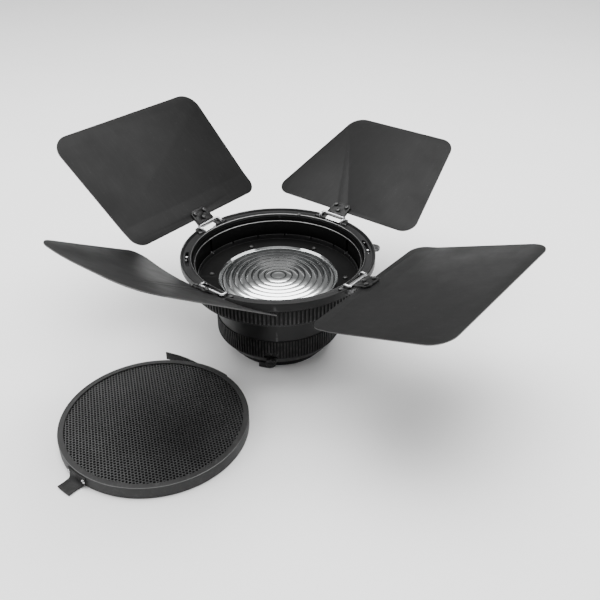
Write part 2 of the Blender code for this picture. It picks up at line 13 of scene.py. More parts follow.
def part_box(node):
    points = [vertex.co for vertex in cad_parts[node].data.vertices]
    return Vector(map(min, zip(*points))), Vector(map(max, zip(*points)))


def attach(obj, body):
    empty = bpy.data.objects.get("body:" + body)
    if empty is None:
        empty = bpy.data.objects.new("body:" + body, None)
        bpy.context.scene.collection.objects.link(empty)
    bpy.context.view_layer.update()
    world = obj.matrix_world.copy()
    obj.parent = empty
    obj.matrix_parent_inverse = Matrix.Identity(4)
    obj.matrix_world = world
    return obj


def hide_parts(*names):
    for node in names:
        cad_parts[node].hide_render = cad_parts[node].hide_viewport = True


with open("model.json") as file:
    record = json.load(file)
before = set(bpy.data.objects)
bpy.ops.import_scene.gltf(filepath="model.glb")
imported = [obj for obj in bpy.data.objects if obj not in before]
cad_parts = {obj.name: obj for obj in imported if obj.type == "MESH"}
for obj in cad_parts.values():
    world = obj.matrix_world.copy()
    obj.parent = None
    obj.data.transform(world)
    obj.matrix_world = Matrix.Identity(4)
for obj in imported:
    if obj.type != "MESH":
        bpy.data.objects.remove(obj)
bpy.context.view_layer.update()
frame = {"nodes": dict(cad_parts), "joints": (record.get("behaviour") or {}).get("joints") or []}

MM = 0.001
FINE = 192                       # steps round a large ring
SMALL = 32                       # steps round a screw or a pin

# Ribs of the two grips
ZOOM_RIBS = 144
ZOOM_RIB_TOP = 85.0              # the band above the ribs is smooth
GRIP_RIBS = 132
RIB_DEPTH = 0.9

# Bayonet lugs
LUG_R = 49.0
LUG_ROOT_R = 42.0
FIRST_LUG = -105.0               # azimuth in degrees
LUG_HALF = 6.5                   # half the angle that a lug covers
LUG_HEIGHT = 5.6

# Lens carrier
RIM_NOTCHES = 17
FIRST_NOTCH = 22.8               # azimuth in degrees
FOLLOWERS = ["follower_pin_%d" % (k + 1) for k in range(3)]
LENS_SCREWS = ["lens_screw_%d" % (k + 1) for k in range(6)]
MOUNT_SCREWS = ["mount_screw_%d" % (k + 1) for k in range(3)]
GRID_RIVETS = ["grid_rivet_%d" % (k + 1) for k in range(4)]

# Fresnel lens
LENS_GROOVES = 8
LENS_EYE = 6.2                   # radius of the round facet at the centre
EYE_FALL = 0.3                   # how far the centre facet falls to its edge
LENS_RIM = 1.6                   # flat rim outside the last facet
STEP_WIDTH = 1.5                 # radial width of the steep step between two facets
FIRST_SLOPE = radians(9)         # mean slope of the innermost and the outermost facet
LAST_SLOPE = radians(21)

# Honeycomb
CELL_PITCH = 2.9
CELL_WALL = 0.85
CELL_TURN = radians(-15)

# Barn doors, in the frame of each hinge: x along the bar, y out along the leaf, z up from it
LOWEST_LEAF = -15.0              # every leaf's lower limit, degrees from the ring's plane
LEAF_START = 8.0
LEAF_END = 134.0
LEAF_DROP = 2.0
LEAF_THICK = 1.0
LEAF_SHAPES = {                  # half width at the hinge end and at the free end, folded or not
    "back_left": (82.0, 89.5, True),
    "back_right": (80.5, 60.5, False),
    "front_right": (82.0, 89.5, True),
    "front_left": (80.5, 60.5, False),
}
LEAF_BOW = {"front_left": 7.5}   # rise of a leaf's sides above its middle
BOW_FROM = 14.0                  # the middle of the sheet stays flat up to here
BOW_SPAN = 66.0
INNER_CORNER = 13.0
OUTER_CORNER = 17.0
FOLD_AT = 30.0
FOLD_ANGLE = radians(5.0)
FOLD_WIDTH = 2.4                 # the sheet is folded over a small radius
CLAMP_HALF = 10.0
CLAMP_SCREWS = ((-6.2, 12.6), (6.2, 12.6), (0.0, 6.2))
BAR_WIRE = 1.2
BAR_HALF = 12.8
BAR_LEG_R = 81.6
BAR_FOOT_Z = 93.0
NOTCH_HALF = 10.4
NOTCH_R = 80.6
EAR_REACH = 90.6
EAR_HALF = 15.6
EAR_LOW = 93.05
EAR_TOP = 96.5

# Thumb tab of the lock ring
TAB_ANGLE = 12.5                 # azimuth in degrees
TAB_TIP_R = 91.5                 # centre of its round end
TAB_ROOT_R = 84.0
TAB_NECK_R = 88.6

# Light
LOW_SKY = 0.18                   # brightness of the room near the horizon
HIGH_SKY = 1.7                   # and overhead
BACKDROP = 1.1                   # extra brightness of the white cloth behind the set
BOXES = (                        # name, place, point it faces, width and length, watts
    ("overhead_box", (0.0, 0.25, 1.4), (0.0, 0.0, 0.08), (1.7, 1.2), 44),
    ("left_box", (-1.3, -0.3, 0.7), (-0.05, 0.0, 0.08), (1.3, 1.0), 10),
    ("right_box", (1.3, -0.2, 0.8), (0.05, 0.0, 0.08), (1.3, 1.0), 8),
)

# Camera
VIEW_TARGET = (20.06, 0.0, 43.83)
VIEW_DISTANCE = 711.8
VIEW_PITCH = radians(33.05)
VIEW_LENS = 45.06


# ---------------------------------------------------------------- meshes

def shade(item, angle=32):
    item.data.shade_smooth()
    item.data.set_sharp_from_angle(angle=radians(angle))
    return item


def new_item(name, work, mats=()):
    """Object made from a bmesh, which is freed."""
    mesh = bpy.data.meshes.new(name)
    work.to_mesh(mesh)
    work.free()
    item = bpy.data.objects.new(name, mesh)
    bpy.context.scene.collection.objects.link(item)
    for mat in mats:
        mesh.materials.append(mat)
    return item


def settle(item, body, *nodes):
    """The piece moves with a body, and stands for the frame's nodes."""
    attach(item, body)
    if nodes:
        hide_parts(*nodes)
    return item


def section_of(node, azimuth=90.0, centre=(0.0, 0.0)):
    """Section of a turned node at one azimuth, as (radius, height) points in millimetres."""
    mesh = frame["nodes"][node].data
    out = Vector((cos(radians(azimuth)), sin(radians(azimuth))))
    across = Vector((-out.y, out.x))
    keys = []
    for vert in mesh.vertices:
        flat = vert.co.xy / MM - Vector(centre)
        keys.append((round(flat.dot(out), 2), round(vert.co.z / MM, 2), abs(flat.dot(across)) < 0.01))
    links = {}
    for edge in mesh.edges:
        a, b = (keys[i] for i in edge.vertices)
        if a[2] and b[2] and a[0] >= -0.01 and b[0] >= -0.01 and a != b:
            links.setdefault(a[:2], set()).add(b[:2])
            links.setdefault(b[:2], set()).add(a[:2])
    ends = [p for p in links if p[0] < 0.01]
    start = max(ends, key=lambda p: p[1]) if ends else max(links, key=lambda p: (p[1], p[0]))
    walk = [start]
    while True:
        ahead = [p for p in links[walk[-1]] if p not in walk and not (p in ends and len(walk) < 2)]
        if not ahead:
            return walk, not ends
        walk.append(max(ahead))


def soften(profile, radius=0.25, closed=True, steps=3, least=20):
    """Rounds each corner of a section that turns by more than a few degrees."""
    points = [Vector(p) for p in profile]
    count = len(points)
    result = []
    for i, here in enumerate(points):
        if not closed and i in (0, count - 1):
            result.append(here)
            continue
        back = points[i - 1] - here
        ahead = points[(i + 1) % count] - here
        turn = pi - back.angle(ahead)
        if turn < radians(least):
            result.append(here)
            continue
        reach = min(radius, 0.4 * back.length, 0.4 * ahead.length)
        one = here + back.normalized() * reach
        two = here + ahead.normalized() * reach
        for k in range(steps + 1):
            t = k / steps
            result.append((1 - t) ** 2 * one + 2 * t * (1 - t) * here + t ** 2 * two)
    return [(p.x, p.y) for p in result]


def spin(name, profile, mats, steps=FINE, closed=True, centre=(0.0, 0.0), bare=None):
    """Turned mesh of a section, whose faces take the material numbered bare(r, z)."""
    work = bmesh.new()
    rings = []
    for radius, height in profile:
        if radius < 0.01:
            rings.append([work.verts.new((centre[0] * MM, centre[1] * MM, height * MM))])
            continue
        ring = []
        for k in range(steps):
            turn = 2 * pi * k / steps
            ring.append(work.verts.new(((centre[0] + radius * cos(turn)) * MM,
                                        (centre[1] + radius * sin(turn)) * MM, height * MM)))
        rings.append(ring)
    pairs = list(zip(range(len(rings)), list(range(1, len(rings))) + [0]))
    for a, b in pairs if closed else pairs[:-1]:
        middle = [(profile[a][0] + profile[b][0]) / 2, (profile[a][1] + profile[b][1]) / 2]
        for k in range(steps):
            n = (k + 1) % steps
            corners = [rings[a][k % len(rings[a])], rings[a][n % len(rings[a])],
                       rings[b][n % len(rings[b])], rings[b][k % len(rings[b])]]
            face = work.faces.new(list(dict.fromkeys(corners)))
            face.material_index = int(bare(*middle)) if bare else 0
    bmesh.ops.recalc_face_normals(work, faces=work.faces)
    return new_item(name, work, mats)


def turned_like(node, mats, steps=FINE, round_by=0.25, azimuth=90.0, centre=(0.0, 0.0), bare=None):
    section, closed = section_of(node, azimuth, centre)
    return spin(node + "_fine", soften(section, round_by, closed), mats, steps, closed, centre, bare)


def prism(name, outline, low, high, mats=(), matrix=None):
    """Flat outline extruded between two heights."""
    work = bmesh.new()
    verts = [work.verts.new((x * MM, y * MM, low * MM)) for x, y in outline]
    face = work.faces.new(verts)
    raised = bmesh.ops.extrude_face_region(work, geom=[face])
    top = [v for v in raised["geom"] if isinstance(v, bmesh.types.BMVert)]
    bmesh.ops.translate(work, verts=top, vec=(0, 0, (high - low) * MM))
    bmesh.ops.recalc_face_normals(work, faces=work.faces)
    if matrix is not None:
        bmesh.ops.transform(work, matrix=matrix, verts=work.verts)
    return new_item(name, work, mats)


def rod(name, radius, length, place, direction, steps=SMALL):
    """Plain round bar, used to cut holes."""
    work = bmesh.new()
    bmesh.ops.create_cone(work, cap_ends=True, segments=steps, radius1=radius * MM,
                          radius2=radius * MM, depth=length * MM)
    turn = Vector(direction).to_track_quat("Z", "Y").to_matrix().to_4x4()
    bmesh.ops.transform(work, matrix=Matrix.Translation(place) @ turn, verts=work.verts)
    return new_item(name, work)


def combine(item, others, operation="DIFFERENCE"):
    """One boolean with all the helper shapes, which do not touch each other and are then removed."""
    work = bmesh.new()
    for other in others:
        other.data.transform(other.matrix_world)
        work.from_mesh(other.data)
    tool = new_item("tools", work)
    step = item.modifiers.new(operation.lower(), "BOOLEAN")
    step.operation = operation
    step.solver = "EXACT"
    step.object = tool
    return frozen(item, [*others, tool])


def frozen(item, helpers=()):
    """Keeps what the modifiers make as the item's own mesh."""
    bpy.context.view_layer.update()
    evaluated = item.evaluated_get(bpy.context.evaluated_depsgraph_get())
    mesh = bpy.data.meshes.new_from_object(evaluated)
    item.modifiers.clear()
    old = item.data
    item.data = mesh
    bpy.data.meshes.remove(old)
    mesh.name = item.name
    for helper in helpers:
        bpy.data.objects.remove(helper, do_unlink=True)
    return item


def chamfer(item, width, segments=2, angle=35):
    step = item.modifiers.new("edges", "BEVEL")
    step.width = width * MM
    step.segments = segments
    step.limit_method = "ANGLE"
    step.angle_limit = radians(angle)
    return item


def polar(radius, angle, z=0.0):
    turn = radians(angle)
    return Vector((radius * cos(turn), radius * sin(turn), z)) * MM


def arc(centre, radius, start, end, steps=10):
    turns = [radians(start + (end - start) * k / steps) for k in range(steps + 1)]
    return [(centre[0] + radius * cos(t), centre[1] + radius * sin(t)) for t in turns]


def radial_block(angle, near, far, half):
    """Rectangle that points out from the axis at an angle."""
    turn = radians(angle)
    return [(r * cos(turn) - s * sin(turn), r * sin(turn) + s * cos(turn))
            for r, s in ((near, -half), (far, -half), (far, half), (near, half))]


def middle_of(node):
    low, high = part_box(node)
    return (low + high) / 2


def azimuth_of(node):
    middle = middle_of(node)
    return degrees(atan2(middle.y, middle.x))


def screw_holes(nodes, radius, length, height):
    """Upright holes where the screws of these nodes stand."""
    spots = [middle_of(node) for node in nodes]
    return [rod("screw_hole", radius, length, (spot.x, spot.y, height * MM), (0, 0, 1)) for spot in spots]


def joint(name):
    return next(j for j in frame["joints"] if j["name"] == name)


# ---------------------------------------------------------------- materials

def grey(level):
    return (level, level, level)


def ranged(tree, source, low, high, new_low, new_high):
    """A value mapped from one range to another, and held at its ends."""
    node = tree.nodes.new("ShaderNodeMapRange")
    for name, value in (("From Min", low), ("From Max", high), ("To Min", new_low), ("To Max", new_high)):
        node.inputs[name].default_value = value
    tree.links.new(source, node.inputs["Value"])
    return node.outputs["Result"]


class Paint:
    """Node material whose colour, roughness and bump all vary at the real surface's scale."""

    def __init__(self, name, colour, roughness, metallic, place=None):
        self.mat = bpy.data.materials.new(name)
        self.mat.use_nodes = True
        self.tree = self.mat.node_tree
        self.shader = self.tree.nodes["Principled BSDF"]
        self.shader.inputs["Base Color"].default_value = (*colour, 1.0)
        self.shader.inputs["Roughness"].default_value = roughness
        self.shader.inputs["Metallic"].default_value = metallic
        self.colour = colour
        if place:
            node = self.tree.nodes.new("ShaderNodeAttribute")
            node.attribute_name = place
            self.place = node.outputs["Vector"]
        else:
            self.place = self.tree.nodes.new("ShaderNodeTexCoord").outputs["Object"]
            self.place = self.turned()
        self.normal = None

    def turned(self):
        """Places turned and moved off the axes, where noise would show its own lattice."""
        node = self.tree.nodes.new("ShaderNodeMapping")
        node.inputs["Location"].default_value = (0.137, 0.291, 0.173)
        node.inputs["Rotation"].default_value = (0.5, 0.7, 0.3)
        self.tree.links.new(self.place, node.inputs["Vector"])
        return node.outputs["Vector"]

    def set(self, **sockets):
        for name, value in sockets.items():
            self.shader.inputs[name.replace("_", " ")].default_value = value
        return self

    def stretched(self, scale):
        node = self.tree.nodes.new("ShaderNodeMapping")
        node.inputs["Scale"].default_value = scale
        self.tree.links.new(self.place, node.inputs["Vector"])
        return node.outputs["Vector"]

    def noise(self, scale, detail=3.0, rough=0.55, stretch=None):
        node = self.tree.nodes.new("ShaderNodeTexNoise")
        node.inputs["Scale"].default_value = scale
        node.inputs["Detail"].default_value = detail
        node.inputs["Roughness"].default_value = rough
        self.tree.links.new(self.stretched(stretch) if stretch else self.place, node.inputs["Vector"])
        return node.outputs["Fac"]

    def ranged(self, source, low, high, new_low=0.0, new_high=1.0):
        return ranged(self.tree, source, low, high, new_low, new_high)

    def tint(self, mask, colour):
        """Another colour where the mask is high."""
        mix = self.tree.nodes.new("ShaderNodeMix")
        mix.data_type = "RGBA"
        under = self.shader.inputs["Base Color"]
        if under.is_linked:
            self.tree.links.new(under.links[0].from_socket, mix.inputs[6])
        else:
            mix.inputs[6].default_value = under.default_value
        mix.inputs[7].default_value = (*colour, 1.0)
        self.tree.links.new(mask, mix.inputs[0])
        self.tree.links.new(mix.outputs[2], under)
        return self

    def gloss(self, source, low, high):
        """Roughness that follows a texture."""
        self.tree.links.new(self.ranged(source, 0.3, 0.7, low, high), self.shader.inputs["Roughness"])
        return self

    def bump(self, source, depth, strength=1.0):
        node = self.tree.nodes.new("ShaderNodeBump")
        node.inputs["Strength"].default_value = strength
        node.inputs["Distance"].default_value = depth * MM
        self.tree.links.new(source, node.inputs["Height"])
        if self.normal is not None:
            self.tree.links.new(self.normal, node.inputs["Normal"])
        self.normal = node.outputs["Normal"]
        self.tree.links.new(self.normal, self.shader.inputs["Normal"])
        return self

    def edges(self, low=0.53, high=0.6):
        """Mask of the sharp outer edges, broken up so that the wear is uneven."""
        point = self.tree.nodes.new("ShaderNodeNewGeometry").outputs["Pointiness"]
        mask = self.ranged(point, low, high)
        patchy = self.ranged(self.noise(260.0, 4.0), 0.42, 0.6, 0.15, 1.0)
        times = self.tree.nodes.new("ShaderNodeMath")
        times.operation = "MULTIPLY"
        self.tree.links.new(mask, times.inputs[0])
        self.tree.links.new(patchy, times.inputs[1])
        return times.outputs[0]


def satin_metal(name, colour, rough_low, rough_high, wear=(0.10, 0.10, 0.102), level=0.4):
    """Black anodised aluminium with a fine blasted grain."""
    paint = Paint(name, colour, rough_low, 0.1)
    paint.set(Specular_IOR_Level=level)
    paint.tint(paint.ranged(paint.noise(38.0, 5.0), 0.45, 0.75, 0.0, 0.5), [c * 1.9 for c in colour])
    paint.tint(paint.ranged(paint.noise(2600.0, 1.0), 0.66, 0.74, 0.0, 0.35), [c * 4 for c in colour])
    paint.tint(paint.edges(), wear)
    paint.gloss(paint.noise(120.0, 5.0), rough_low, rough_high)
    paint.bump(paint.noise(3200.0, 2.0), 0.02, 0.5)
    paint.bump(paint.noise(90.0, 2.0), 0.03, 0.25)
    return paint.mat


def sheet_paint(name, place=None, lift=1.0):
    """Dark grey powder coat, with rolling streaks and a little dust."""
    paint = Paint(name, grey(0.0055 * lift), 0.5, 0.0, place)
    paint.set(Specular_IOR_Level=0.12)
    paint.tint(paint.ranged(paint.noise(14.0, 4.0), 0.35, 0.7, 0.0, 0.8), grey(0.0085 * lift))
    streaks = paint.noise(60.0, 6.0, 0.7, (6.0, 0.8, 6.0))
    paint.tint(paint.ranged(streaks, 0.5, 0.72, 0.0, 0.5), grey(0.012 * lift))
    paint.tint(paint.ranged(paint.noise(900.0, 2.0), 0.72, 0.78, 0.0, 0.5), grey(0.09))
    paint.gloss(paint.noise(30.0, 5.0), 0.44, 0.58)
    paint.bump(paint.noise(2200.0, 3.0), 0.03, 0.5)
    paint.bump(paint.noise(22.0, 2.0), 0.12, 0.3)
    return paint.mat


def bright_metal(name, colour, low, high, stretch=(1.0, 1.0, 14.0)):
    """Bare metal with fine machining lines and some dull spots."""
    paint = Paint(name, colour, low, 1.0)
    paint.tint(paint.ranged(paint.noise(420.0, 4.0), 0.5, 0.75, 0.0, 0.6), [c * 0.62 for c in colour])
    paint.gloss(paint.noise(700.0, 4.0, 0.6, stretch), low, high)
    paint.bump(paint.noise(1800.0, 2.0, 0.6, stretch), 0.008, 0.5)
    return paint.mat


def lens_paint():
    """Moulded optical glass, with a bright partly silvered look and faint flow marks."""
    paint = Paint("lens_glass_fine", (0.88, 0.90, 0.90), 0.06, 0.8)
    paint.set(Transmission_Weight=0.9, IOR=1.5)
    paint.tint(paint.ranged(paint.noise(70.0, 3.0), 0.5, 0.8, 0.0, 0.35), (0.78, 0.81, 0.81))
    paint.gloss(paint.noise(160.0, 4.0), 0.04, 0.13)
    paint.bump(paint.noise(140.0, 2.0), 0.05, 0.35)
    return paint.mat


def step_shade_paint():
    """Steep steps of the lens, painted near black: painted shade standing in for the dark head seen through
    them.
    """
    paint = Paint("lens_step_shade", (0.010, 0.011, 0.011), 0.2, 0.0)
    paint.set(Specular_IOR_Level=0.3)
    paint.tint(paint.ranged(paint.noise(90.0, 3.0), 0.5, 0.75, 0.0, 0.6), (0.03, 0.032, 0.032))
    paint.gloss(paint.noise(160.0, 4.0), 0.16, 0.3)
    paint.bump(paint.noise(140.0, 2.0), 0.05, 0.3)
    return paint.mat


def honeycomb_paint():
    """Black lacquered foil, with uneven tone and small grey flecks."""
    paint = Paint("honeycomb_foil", (0.020, 0.020, 0.0205), 0.5, 0.0)
    paint.tint(paint.ranged(paint.noise(45.0, 5.0), 0.4, 0.7, 0.0, 0.8), (0.034, 0.034, 0.0345))
    paint.tint(paint.ranged(paint.noise(700.0, 2.0), 0.6, 0.75, 0.0, 0.5), grey(0.07))
    paint.gloss(paint.noise(900.0, 3.0), 0.4, 0.62)
    paint.bump(paint.noise(1500.0, 2.0), 0.03, 0.5)
    return paint.mat


def leather_paint():
    paint = Paint("black_leather_grain", grey(0.008), 0.6, 0.0)
    paint.set(Specular_IOR_Level=0.3)
    cells = paint.tree.nodes.new("ShaderNodeTexVoronoi")
    cells.feature = "DISTANCE_TO_EDGE"
    cells.inputs["Scale"].default_value = 1100.0
    paint.tree.links.new(paint.place, cells.inputs["Vector"])
    crease = paint.ranged(cells.outputs["Distance"], 0.0, 0.18)
    paint.tint(paint.ranged(paint.noise(120.0, 5.0), 0.45, 0.7, 0.0, 0.7), (0.016, 0.0155, 0.015))
    paint.gloss(paint.noise(300.0, 4.0), 0.48, 0.72)
    paint.bump(crease, 0.08, 0.7)
    paint.bump(paint.noise(60.0, 3.0), 0.25, 0.4)
    return paint.mat


def floor_paint():
    paint = Paint("pale_floor", grey(0.94), 0.85, 0.0)
    paint.tint(paint.ranged(paint.noise(3.0, 3.0), 0.4, 0.7), grey(0.92))
    return paint.mat


def make_materials():
    return {
        "metal": satin_metal("black_metal_fine", (0.0045, 0.0045, 0.0047), 0.32, 0.46, level=0.32),
        "face": satin_metal("black_metal_face", (0.006, 0.006, 0.0062), 0.36, 0.5, level=0.3),
        # darker, duller copy of the black metal for the recessed well round the lens: painted shade
        "recess_shade": satin_metal("black_metal_recess_shade", grey(0.0012), 0.42, 0.55, grey(0.01), 0.09),
        "clamp": satin_metal("black_metal_clamp", grey(0.0025), 0.26, 0.4, grey(0.05), 0.15),
        # darker, duller copy of the ribbed metal for the faces down between the ribs: painted shade in the
        # grooves
        "groove": satin_metal("black_metal_groove_shade", grey(0.0016), 0.5, 0.6, grey(0.003), 0.16),
        "rib": satin_metal("black_metal_ribbed", grey(0.0028), 0.42, 0.54, grey(0.04), 0.24),
        "wall": satin_metal("black_metal_wall", grey(0.0025), 0.4, 0.52, grey(0.06), 0.22),
        "screw": satin_metal("black_screw_fine", grey(0.008), 0.22, 0.36, grey(0.12)),
        "lip": bright_metal("machined_lip", grey(0.24), 0.3, 0.45),
        # bright metal for the leaves' cut edges; on the grid frame's top edge it is a painted highlight
        "cut": bright_metal("cut_edge_and_rim_highlight", grey(0.12), 0.36, 0.52),
        "chrome": bright_metal("bright_steel_fine", (0.46, 0.46, 0.47), 0.16, 0.3),
        "steel": bright_metal("plain_steel_fine", (0.45, 0.45, 0.46), 0.28, 0.42),
        "sheet": sheet_paint("leaf_sheet", "flat"),
        "band": sheet_paint("grid_band", lift=5.5),
        "glass": lens_paint(),
        # dark steps of the lens: painted shade
        "step": step_shade_paint(),
        "foil": honeycomb_paint(),
        "leather": leather_paint(),
    }


# ---------------------------------------------------------------- fasteners

def cross_outline(arm, half):
    points = []
    for k in range(4):
        turn = Matrix.Rotation(k * pi / 2, 2)
        points += [tuple(turn @ Vector(p)) for p in ((arm, -half), (arm, half), (half, half))]
    return points


def screw_mesh(name, head_r, head_h, shank_r, length, mats):
    """Pan head with a cross recess, its seat at z = 0."""
    profile = [(0, head_h), (head_r * 0.55, head_h * 0.98), (head_r * 0.82, head_h * 0.82),
               (head_r * 0.97, head_h * 0.5), (head_r, head_h * 0.2), (head_r, 0.0),
               (shank_r, 0.0), (shank_r, -length), (0, -length)]
    item = spin(name, profile, mats, SMALL, closed=False)
    arm = head_r * 0.62
    half = head_r * 0.12
    combine(item, [prism(name + "_cross", cross_outline(arm, half), head_h * 0.42, head_h * 1.4)])
    chamfer(item, 0.06, 1, 40)
    return shade(frozen(item))


def placed_copy(source, matrix, body, node):
    item = bpy.data.objects.new(node + "_fine", source.data)
    bpy.context.scene.collection.objects.link(item)
    item.matrix_world = matrix
    return settle(item, body, node)


def aimed(place, direction, spin_by=0.0):
    turn = Vector(direction).to_track_quat("Z", "Y").to_matrix().to_4x4()
    return Matrix.Translation(place) @ turn @ Matrix.Rotation(spin_by, 4, "Z")


# ---------------------------------------------------------------- rear of the head

def ribbed(name, section, ribs, floor_r, mats):
    """Turned ring whose outer wall carries ribs where the section's points say True.

    Each rib is a flat-topped tooth with sloped sides, and the wall drops to floor_r between them.
    """
    teeth = ((0.0, 0.0), (0.08, 1.0), (0.52, 1.0), (0.60, 0.0))
    steps = [(k + part, height) for k in range(ribs) for part, height in teeth]
    work = bmesh.new()
    rings = []
    for radius, height, follows in section:
        ring = []
        for turn, tooth in steps:
            angle = 2 * pi * turn / ribs
            r = floor_r + (radius - floor_r) * tooth if follows else radius
            ring.append(work.verts.new((r * cos(angle) * MM, r * sin(angle) * MM, height * MM)))
        rings.append(ring)
    count = len(steps)
    for a in range(len(rings)):
        b = (a + 1) % len(rings)
        for k in range(count):
            n = (k + 1) % count
            face = work.faces.new((rings[a][k], rings[a][n], rings[b][n], rings[b][k]))
            in_groove = section[a][2] and section[b][2] and k % len(teeth) != 1
            # faces down in a groove take the second material, which paints the shade between the ribs
            face.material_index = 1 if in_groove else 0
    bmesh.ops.recalc_face_normals(work, faces=work.faces)
    return new_item(name, work, mats)


def make_rear(mats):
    cap = turned_like("base_cap", (mats["wall"],))
    knob_z = middle_of("lock_knob").z
    axis = joint("lock_knob_turn")["axis"]
    azimuth = degrees(atan2(axis[1], axis[0]))
    combine(cap, [rod("knob_bore", 1.9, 14, polar(54.0, azimuth, knob_z / MM), axis)])
    tools = [rod("knob_seat", 5.2, 10, polar(60.4, azimuth, knob_z / MM), axis, 48)]
    tools += screw_holes(MOUNT_SCREWS, 1.4, 8, 9)
    settle(shade(chamfer(combine(cap, tools), 0.12)), "rear_body", "base_cap")
    settle(shade(turned_like("rear_barrel", (mats["metal"],))), "rear_body", "rear_barrel")
    make_grip(mats, azimuth)
    make_bayonet(mats)
    make_knob(mats, axis, knob_z)


def make_grip(mats, azimuth):
    """Ribbed sleeve, relieved round the lock knob, with two small detent pips above it."""
    low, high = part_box("rear_grip")
    outer = high.x / MM
    bottom = low.z / MM
    top = high.z / MM
    section = [(outer - 0.9, top, False), (outer - 0.3, top, False), (outer, top - 0.5, True),
               (outer, bottom + 0.5, True), (outer - 0.3, bottom, False), (outer - 1.6, bottom, False),
               (outer - 1.6, top, False)]
    grip = ribbed("rear_grip_fine", section, GRIP_RIBS, outer - RIB_DEPTH, (mats["rib"], mats["groove"]))
    relief = rod("knob_relief", 6.4, 6, polar(outer, azimuth, 18.6), polar(1, azimuth), 40)
    combine(grip, [relief])
    settle(shade(grip, 25), "rear_body", "rear_grip")
    for k, side in enumerate((0.0, 6.0)):
        pip = [(0, 1.0), (0.55, 0.95), (0.85, 0.6), (0.95, 0.0), (0, 0.0)]
        item = spin("detent_pip_%d" % (k + 1), pip, (mats["screw"],), 16, closed=False)
        item.matrix_world = aimed(polar(outer - 1.7, azimuth + side, 22.8), polar(1, azimuth + side))
        shade(item)
        settle(item, "rear_body")


def make_bayonet(mats):
    mount = turned_like("bayonet_mount", (mats["metal"],), round_by=0.2)
    lugs = []
    for k in range(3):
        middle = FIRST_LUG + 120 * k
        outline = arc((0, 0), LUG_R, middle - LUG_HALF, middle + LUG_HALF)
        outline += arc((0, 0), LUG_ROOT_R, middle + LUG_HALF, middle - LUG_HALF)
        lugs.append(prism("lug_%d" % k, outline, 0.0, LUG_HEIGHT))
    combine(mount, lugs, "UNION")
    combine(mount, screw_holes(MOUNT_SCREWS, 1.4, 8, 12))
    settle(shade(chamfer(mount, 0.25)), "rear_body", "bayonet_mount")
    head_h = 1.4
    master = screw_mesh("mount_screw_master", 2.3, head_h, 1.05, 6.5, (mats["screw"],))
    for k, node in enumerate(MOUNT_SCREWS):
        seat = middle_of(node)
        seat.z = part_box(node)[0].z + head_h * MM
        placed_copy(master, aimed(seat, (0, 0, -1), 0.4 + k), "rear_body", node)
    bpy.data.objects.remove(master)


def make_knob(mats, axis, knob_z):
    """Knurled button with a dished, slotted face."""
    azimuth = degrees(atan2(axis[1], axis[0]))
    profile = [(0, 4.9), (2.6, 4.9), (3.2, 5.4), (4.0, 5.4), (4.6, 4.8), (4.6, 0.9), (4.2, 0.4),
               (1.6, 0.4), (1.6, -4.4), (0, -4.4)]
    knob = spin("lock_knob_fine", soften(profile, 0.25, False), (mats["metal"],), 48, closed=False)
    tools = []
    for k in range(20):
        turn = 2 * pi * k / 20
        spot = (4.75 * cos(turn) * MM, 4.75 * sin(turn) * MM, 2.9 * MM)
        tools.append(rod("knurl_%d" % k, 0.42, 4.4, spot, (0, 0, 1), 8))
    slot = [(-3.0, -0.35), (3.0, -0.35), (3.0, 0.35), (-3.0, 0.35)]
    tools.append(prism("knob_slot", slot, 4.3, 6.0))
    combine(knob, tools)
    knob.matrix_world = aimed(polar(55.4, azimuth, knob_z / MM), axis)
    settle(shade(knob), "knob", "lock_knob")


def make_front_tube(mats):
    def lip(radius, height):
        return height > 88.85 and radius < 75.95

    # the tube's wall takes the darker recess copy, painted shade in the well
    tube = turned_like("front_tube", (mats["recess_shade"], mats["lip"]), bare=lip)
    slots = [prism("guide_slot", radial_block(azimuth_of(node), 74, 80, 1.6), 72.1, 88.3)
             for node in FOLLOWERS]
    settle(shade(combine(tube, slots)), "rear_body", "front_tube")


# ---------------------------------------------------------------- zoom ring and lens carrier

def make_zoom_ring(mats):
    low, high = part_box("zoom_ring")
    outer = high.x / MM
    bottom = low.z / MM
    top = high.z / MM
    inner = 78.6
    recess = 80.4                # room for the followers, which run in helical tracks
    section = [(outer - 0.5, top, False), (outer - 0.15, top - 0.15, False), (outer, top - 0.6, False),
               (outer, ZOOM_RIB_TOP + 0.35, False), (outer - 0.25, ZOOM_RIB_TOP + 0.1, False),
               (outer, ZOOM_RIB_TOP - 0.3, True), (outer, bottom + 0.7, True),
               (outer - 0.5, bottom, True), (inner, bottom, False), (inner, bottom + 0.4, False),
               (recess, bottom + 0.4, False), (recess, top, False)]
    ring = ribbed("zoom_ring_fine", section, ZOOM_RIBS, outer - RIB_DEPTH, (mats["rib"], mats["groove"]))
    settle(shade(ring, 25), "zoom", "zoom_ring")


